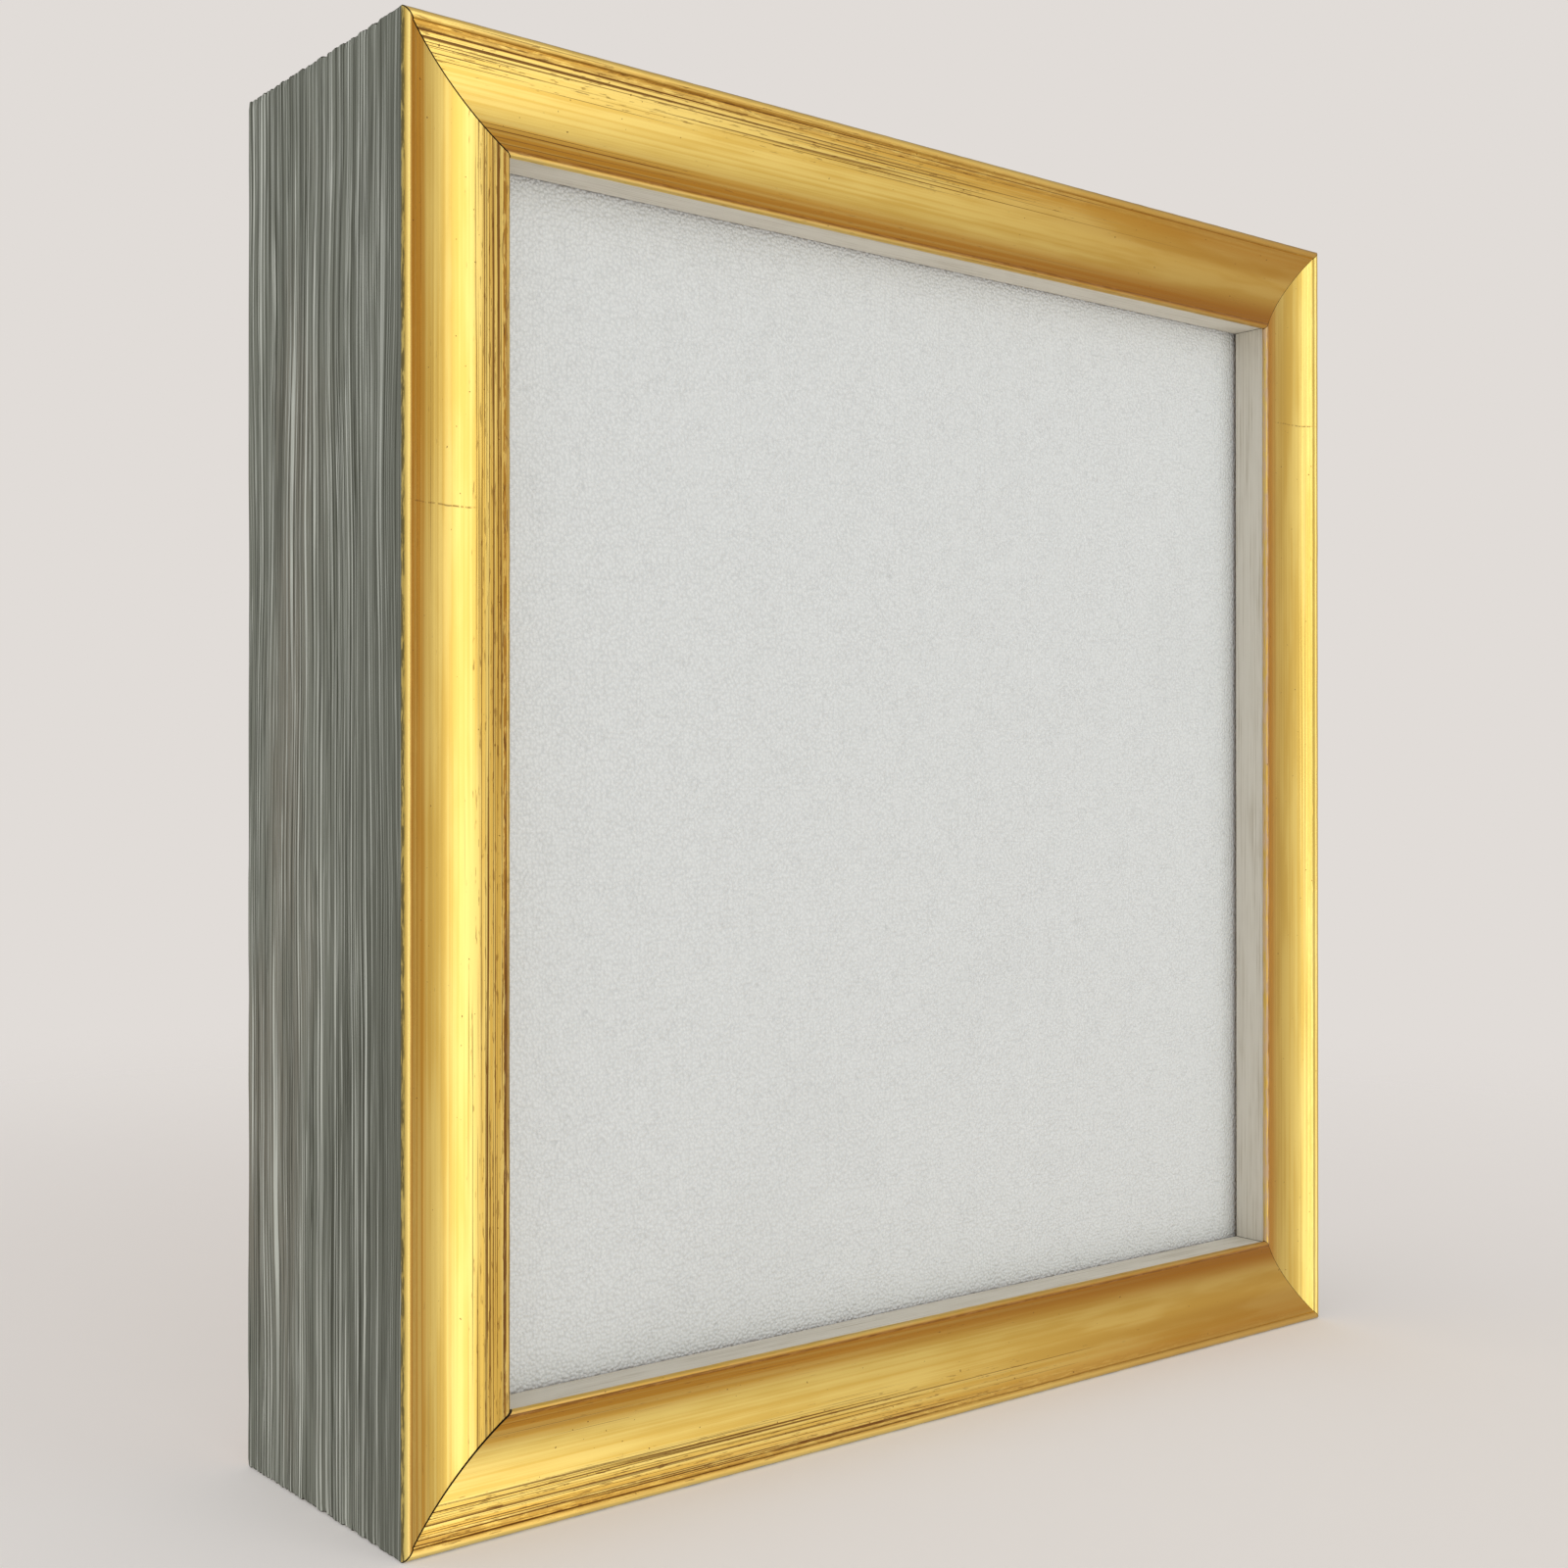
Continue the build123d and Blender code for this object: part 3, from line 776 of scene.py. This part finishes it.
class FRAME_OT_rails(bpy.types.Operator):
    """Make the four mitred rails, with their gilding, limewashed lip and weathered sides"""

    bl_idname = "scoop_frame.rails"
    bl_label = "Rails"

    def execute(self, context):
        s = settings()
        m = s.moulding
        section = moulding_section(m)
        step = 1.25 * MM
        side_material, lip_material = weathered(s.timber), limewashed(s.timber)
        raw_material = timber("raw_timber", s.timber.raw, s.timber.raw_dark, 240, 50)
        # The mitre faces are coloured dark as painted shade in the gaps
        cut_material = timber("mitre_cut_shade", s.timber.cut, s.timber.cut_dark, 300, 57)
        # Outer edge streaked, inner edge streaked, inner edge darkened, outer edge's painted light (dark
        # reflection at the foot, highlight on the crest), nose rubbed
        worn = {
            "bottom": (0.8, 0.55, 1.0, 0.4, 0.15),
            "right": (0.2, 0.1, 0.8, 0.0, 0.95),
            "top": (0.8, 0.6, 1.0, 0.4, 0.15),
            "left": (0.35, 1.0, 0.4, 1.0, 0.1),
        }
        # Half gaps at each rail's left and right end, as seen with that rail at the bottom
        wide, tight = m.mitre_gap, m.tight_gap
        gaps = {"bottom": (wide, tight), "right": (tight, tight), "top": (tight, wide), "left": (wide, wide)}
        # Where a leaf's edge shows along the rail (9 is off its end), and which end fades under painted
        # shade
        laps = {"bottom": 9.0, "right": 1.0766, "top": 9.0, "left": 2.9584}
        fades = {"bottom": 1, "right": 0, "top": -1, "left": 0}
        for number, side in enumerate(SIDES):
            marks = (worn[side], 5 * number, laps[side], fades[side])
            gold = gilding(f"gilding_{side}", s.gilding, section.span, *marks)
            bm = run(section, HALF + 1 * MM, step, rail_sink(section, m, 60.5 * number + 3))
            mitre(bm, *gaps[side], m.open_mitre if side == "bottom" else 0.0)
            # Each rail takes a stretch of the pattern of its own, a metre from the last
            grain = bm.loops.layers.uv["grain"]
            for face in bm.faces:
                for loop in face.loops:
                    loop[grain].uv.x += number
            bm.transform(turned(side))
            mark_edges(bm, 40)
            materials = (gold, side_material, lip_material, raw_material, cut_material)
            piece(f"moulding_{side}", bm, materials, "frame", (f"{side}_rail",))
        return {"FINISHED"}


class FRAME_OT_canvas(bpy.types.Operator):
    """Make the primed canvas, turned round the bars and folded at its corners"""

    bl_idname = "scoop_frame.canvas"
    bl_label = "Canvas"

    def execute(self, context):
        c = settings().canvas
        primed, raw = primed_canvas(c), raw_cotton(c)
        half = CANVAS_HIGH.x
        bm = bmesh.new()
        bmesh.ops.create_grid(bm, x_segments=96, y_segments=96, size=half)
        upright = Matrix.Translation((0, CANVAS_LOW.y, HALF)) @ Matrix.Rotation(pi / 2, 4, "X")
        bm.transform(upright)
        for v in bm.verts:
            inward = min(half - abs(v.co.x), half - abs(v.co.z - HALF)) / MM
            x, z = v.co.x / MM, v.co.z / MM
            slack = 0.6 + n3(x * 0.02, z * 0.02, 5) + 0.4 * n3(x * 0.06, z * 0.06, 9)
            v.co.y += c.wave * max(0.0, slack) * ease(inward, 3, 20)
        turn_back(bm, c, half)
        corner_pleats(bm, c, half)
        mark_edges(bm, 50)
        made = piece("stretched_canvas", bm, (primed, raw), "frame", ("canvas",))
        skin = made.modifiers.new("cloth", "SOLIDIFY")
        skin.thickness = c.cloth * 0.9
        skin.offset = -1.0
        skin.material_offset = 1
        skin.use_even_offset = True
        return {"FINISHED"}


def turn_back(bm, c, half):
    """Carry the cloth's edge round the bars: a rounded turn, the side, and the mitred hem behind."""
    depth = CANVAS_HIGH.y - CANVAS_LOW.y
    r = c.edge_radius
    bends = [(r * (1 - cos(k * pi / 6)), -r * (1 - sin(k * pi / 6))) for k in range(4)]
    route = bends + [(depth * f, 0.0) for f in (0.2, 0.4, 0.6, 0.8)]
    route += [(depth - back, out) for back, out in reversed(bends)]
    route += [(depth, -c.fold * f) for f in (0.35, 0.7, 1.0)]
    edges = [e for e in bm.edges if e.is_boundary]
    home = {v: (v.co.x, v.co.z - HALF) for v in bm.verts if v.is_boundary}
    settle(home, half, *route[0])
    for back, out in route[1:]:
        made = bmesh.ops.extrude_edge_only(bm, edges=edges)["geom"]
        fresh = [g for g in made if isinstance(g, bmesh.types.BMVert)]
        edges = [g for g in made if isinstance(g, bmesh.types.BMEdge) and g.is_boundary]
        home = {v: source_of(v, home) for v in fresh}
        settle(home, half, back, out)
    bmesh.ops.remove_doubles(bm, verts=bm.verts[:], dist=1e-5)
    bmesh.ops.recalc_face_normals(bm, faces=bm.faces[:])
    if max(bm.faces, key=lambda f: f.calc_area()).normal.y > 0:
        bmesh.ops.reverse_faces(bm, faces=bm.faces[:])


def settle(home, half, back, out):
    """Move the rim to a depth behind the front, drawn in to stay within half + out of the middle."""
    reach = half + out
    for v, (x, z) in home.items():
        x, z = (min(max(side, -reach), reach) for side in (x, z))
        v.co = (x, CANVAS_LOW.y + back, HALF + z)


def source_of(v, home):
    """The place on the flat rim of the vertex that v was drawn out from."""
    for edge in v.link_edges:
        other = edge.other_vert(v)
        if other in home and (other.co - v.co).length < 1e-9:
            return home[other]
    raise RuntimeError("a vertex of the cloth has lost its edge")


def corner_pleats(bm, c, half):
    """The cloth gathered at each corner, folded flat over the hem as a three-cornered pleat."""
    flap = bmesh.new()
    bmesh.ops.create_grid(flap, x_segments=12, y_segments=12, size=12 * MM)
    bmesh.ops.translate(flap, verts=flap.verts, vec=(11 * MM, 11 * MM, 0))
    fold = c.fold * 1.02
    tip = Vector((c.fold * 1.3, 0.9 * MM, 0))
    # A point on each side of the pleat and the way out of it: outer edge, diagonal, free edge
    cuts = (((0, 0.9 * MM, 0), (0, -1, 0)), ((0, 0.2 * MM, 0), (-1, 1, 0)), (tip, (fold, tip.x - fold, 0)))
    for point, normal in cuts:
        everything = flap.verts[:] + flap.edges[:] + flap.faces[:]
        bmesh.ops.bisect_plane(
            flap, geom=everything, dist=1e-7, plane_co=point, plane_no=normal, clear_outer=True
        )
    for v in flap.verts:
        v.co.z = 0.05 * MM * n3(v.co.x / MM * 0.15, v.co.y / MM * 0.15, 2)
    sheet = bpy.data.meshes.new("pleat")
    flap.to_mesh(sheet)
    flap.free()
    corner = Matrix.Translation((half, CANVAS_HIGH.y + c.cloth * 0.8, half))
    lay = corner @ Matrix(((-1, 0, 0, 0), (0, 0, 1, 0), (0, -1, 0, 0), (0, 0, 0, 1)))
    for number in range(4):
        spin = Matrix.Translation((0, 0, HALF)) @ Matrix.Rotation(number * pi / 2, 4, "Y")
        placed = sheet.copy()
        placed.transform(spin @ lay)
        old = set(bm.faces)
        bm.from_mesh(placed)
        pleat = [f for f in bm.faces if f not in old]
        if pleat[0].normal.y < 0:
            bmesh.ops.reverse_faces(bm, faces=pleat)


class FRAME_OT_bars(bpy.types.Operator):
    """Make the four pine stretcher bars"""

    bl_idname = "scoop_frame.bars"
    bl_label = "Stretcher bars"

    def execute(self, context):
        look = settings().timber
        pine = timber("pine", look.pine, look.pine_dark, 330, 80)
        for number, side in enumerate(SIDES):
            nodes = (f"{side}_stretcher_bar",)
            made = softened(f"pine_bar_{side}", nodes, pine, "frame", 0.5 * MM)
            lay_grain(made, side, number)
        return {"FINISHED"}


def softened(name, nodes, material, body, width):
    """A copy of CAD nodes with its triangles merged to faces and its edges rounded."""
    bm = bmesh.new()
    for node in nodes:
        bm.from_mesh(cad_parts[node].data)
    bmesh.ops.remove_doubles(bm, verts=bm.verts[:], dist=1e-6)
    bmesh.ops.dissolve_limit(bm, angle_limit=radians(1.0), verts=bm.verts[:], edges=bm.edges[:])
    mark_edges(bm, 35)
    made = piece(name, bm, (material,), body, nodes)
    rounding = made.modifiers.new("rounding", "BEVEL")
    rounding.width = width
    rounding.segments = 2
    rounding.limit_method = "ANGLE"
    rounding.angle_limit = radians(35)
    return made


def lay_grain(made, side, number):
    """Map a bar or key so that its grain runs along it."""
    mesh = made.data
    grain = mesh.uv_layers.new(name="grain")
    level = side in ("bottom", "top")
    for polygon in mesh.polygons:
        for k in polygon.loop_indices:
            co = mesh.vertices[mesh.loops[k].vertex_index].co
            along, across = (co.x, co.z) if level else (co.z, co.x)
            grain.data[k].uv = (along + number, across + co.y)


class FRAME_OT_keys(bpy.types.Operator):
    """Make the corner keys that tighten the canvas"""

    bl_idname = "scoop_frame.keys"
    bl_label = "Corner keys"

    def execute(self, context):
        look = settings().timber
        beech = timber("beech", look.beech, look.beech_dark, 420, 95)
        for number, side in enumerate(SIDES):
            nodes = (f"{side}_corner_keys",)
            made = softened(f"keys_{side}", nodes, beech, "frame", 0.25 * MM)
            lay_grain(made, side, number + 5)
        return {"FINISHED"}


class FRAME_OT_nails(bpy.types.Operator):
    """Make the staples along the hem and the V-nails across the mitres"""

    bl_idname = "scoop_frame.nails"
    bl_label = "Staples and V-nails"

    def execute(self, context):
        look = settings().fittings
        wire = plated("bright_wire", look.wire, look.zinc_dull, 500, 0.28, 3)
        softened("hem_staples", ("canvas_staples",), wire, "frame", 0.12 * MM)
        softened("mitre_v_nails", ("corner_v_nails",), wire, "frame", 0.06 * MM)
        return {"FINISHED"}


class FRAME_OT_turn_buttons(bpy.types.Operator):
    """Make the turn buttons and the screws that they turn on"""

    bl_idname = "scoop_frame.turn_buttons"
    bl_label = "Turn buttons"

    def execute(self, context):
        look = settings().fittings
        zinc = plated("zinc_plate", look.zinc, look.zinc_dull, 160, 0.3, 11)
        for side in SIDES:
            nodes = (f"{side}_turn_button",)
            softened(f"button_{side}", nodes, zinc, f"{side}_button", look.softening)
        softened("button_screws", ("turn_button_screws",), zinc, "frame", look.softening)
        return {"FINISHED"}


class FRAME_OT_hangers(bpy.types.Operator):
    """Make the strap hangers, their rings and screws, and the wall bumpers"""

    bl_idname = "scoop_frame.hangers"
    bl_label = "Hangers and bumpers"

    def execute(self, context):
        look = settings().fittings
        brass = plated("brass_plate", look.brass, look.brass_dull, 200, 0.26, 21)
        zinc = plated("hanger_zinc", look.zinc, look.zinc_dull, 160, 0.3, 27)
        black = rubber(look)
        for end in ENDS:
            strap = (f"{end}_hanger_strap",)
            ring = (f"{end}_d_ring",)
            bumper = (f"{end}_bumper",)
            softened(f"strap_{end}", strap, brass, "frame", look.softening)
            softened(f"ring_{end}", ring, brass, f"{end}_ring", look.softening / 2)
            softened(f"wall_bumper_{end}", bumper, black, "frame", look.softening)
        softened("hanger_wood_screws", ("hanger_screws",), zinc, "frame", look.softening)
        return {"FINISHED"}


class FRAME_OT_stage(bpy.types.Operator):
    """Set up the pale floor, the soft lights and the camera"""

    bl_idname = "scoop_frame.stage"
    bl_label = "Stage"

    def execute(self, context):
        look = settings().stage
        scene = bpy.context.scene
        scene.view_settings.view_transform = "Standard"
        lay_floor(look)
        light_world(look)
        window = Vector((sin(radians(19)), -cos(radians(19)), 0.03)) * 1.3
        shape = (look.window_width, look.window_height)
        area_light("window", window, *shape, look.window_power, (1.0, 0.99, 0.97))
        place_camera(look)
        return {"FINISHED"}


def lay_floor(look):
    bm = bmesh.new()
    bmesh.ops.create_circle(bm, cap_ends=True, segments=96, radius=0.7)
    mesh = bpy.data.meshes.new("floor")
    bm.to_mesh(mesh)
    bm.free()
    floor = bpy.data.objects.new("floor", mesh)
    bpy.context.scene.collection.objects.link(floor)
    mesh.materials.append(studio_floor(look))
    floor.visible_glossy = False
    floor.visible_shadow = False


def light_world(look):
    """An even pale background, and a room that glows in front and is dimmer and warmer to the right."""
    world = bpy.data.worlds.new("studio")
    bpy.context.scene.world = world
    world.use_nodes = True
    r = Recipe(world.node_tree)
    way = r.node("ShaderNodeTexCoord", output=0)
    right = r.split(way, 0)
    in_front = {0: way, 1: (0.2, -0.98, 0)}
    glow = r.node("ShaderNodeVectorMath", {"operation": "DOT_PRODUCT"}, in_front, output=1)
    level = 0.655 + glow.rise(0.45, 0.98) * 0.24 - right.rise(0.35, 0.85) * 0.2
    level = level + right.rise(-0.1, -0.9) * 0.08
    room = r.mix(right.rise(0.25, 0.9), (0.99, 1.0, 1.01), (1.05, 0.92, 0.8))
    shown = r.node("ShaderNodeBackground", None, {"Color": opaque(look.backdrop), "Strength": 1.0})
    lit = r.node("ShaderNodeBackground", None, {"Color": room, "Strength": level})
    seen = r.node("ShaderNodeLightPath", output=0)
    both = r.node("ShaderNodeMixShader", None, {0: seen, 1: lit, 2: shown})
    r.node("ShaderNodeOutputWorld", None, {"Surface": both})


def area_light(name, offset, width, height, power, tint):
    """A soft rectangular light that looks at the middle of the frame."""
    light = bpy.data.lights.new(name, "AREA")
    light.shape = "RECTANGLE"
    light.size = width
    light.size_y = height
    light.energy = power
    light.color = tint
    lamp = bpy.data.objects.new(name, light)
    middle = Vector((0, FRONT, HALF))
    lamp.location = middle + offset
    lamp.rotation_euler = (-offset).to_track_quat("-Z", "Y").to_euler()
    bpy.context.scene.collection.objects.link(lamp)


def place_camera(look):
    camera = bpy.data.cameras.new("camera")
    camera.sensor_width = 36
    camera.lens = look.lens
    camera.shift_x = look.shift
    camera.clip_start = 0.01
    seat = bpy.data.objects.new("camera", camera)
    width = 2 * HALF
    seat.location = (-look.left * width, FRONT - look.before * width, HALF - look.below * width)
    seat.rotation_euler = (pi / 2 + look.tilt, 0.0, -look.turn)
    bpy.context.scene.collection.objects.link(seat)
    bpy.context.scene.camera = seat


# ---------------------------------------------------------------- panel and registration

OPERATORS = (
    FRAME_OT_stage,
    FRAME_OT_rails,
    FRAME_OT_canvas,
    FRAME_OT_bars,
    FRAME_OT_keys,
    FRAME_OT_nails,
    FRAME_OT_turn_buttons,
    FRAME_OT_hangers,
)


class FRAME_PT_panel(bpy.types.Panel):
    """Lists the frame's pieces in the order they are made"""

    bl_idname = "FRAME_PT_panel"
    bl_label = "Gilded Scoop Frame"
    bl_space_type = "VIEW_3D"
    bl_region_type = "UI"
    bl_category = "Frame"

    def draw(self, context):
        for operator in OPERATORS:
            self.layout.operator(operator.bl_idname)


GROUPS = (
    MouldingSizes,
    GildingColours,
    TimberColours,
    CanvasSettings,
    FittingColours,
    StageSettings,
    FrameSettings,
)


def register():
    for cls in GROUPS + OPERATORS + (FRAME_PT_panel,):
        bpy.utils.register_class(cls)
    bpy.types.Scene.scoop_frame = bpy.props.PointerProperty(type=FrameSettings)


def unregister():
    del bpy.types.Scene.scoop_frame
    for cls in reversed(GROUPS + OPERATORS + (FRAME_PT_panel,)):
        bpy.utils.unregister_class(cls)


def main():
    register()
    for operator in OPERATORS:
        group, name = operator.bl_idname.split(".")
        getattr(getattr(bpy.ops, group), name)()


if __name__ == "__main__":
    main()
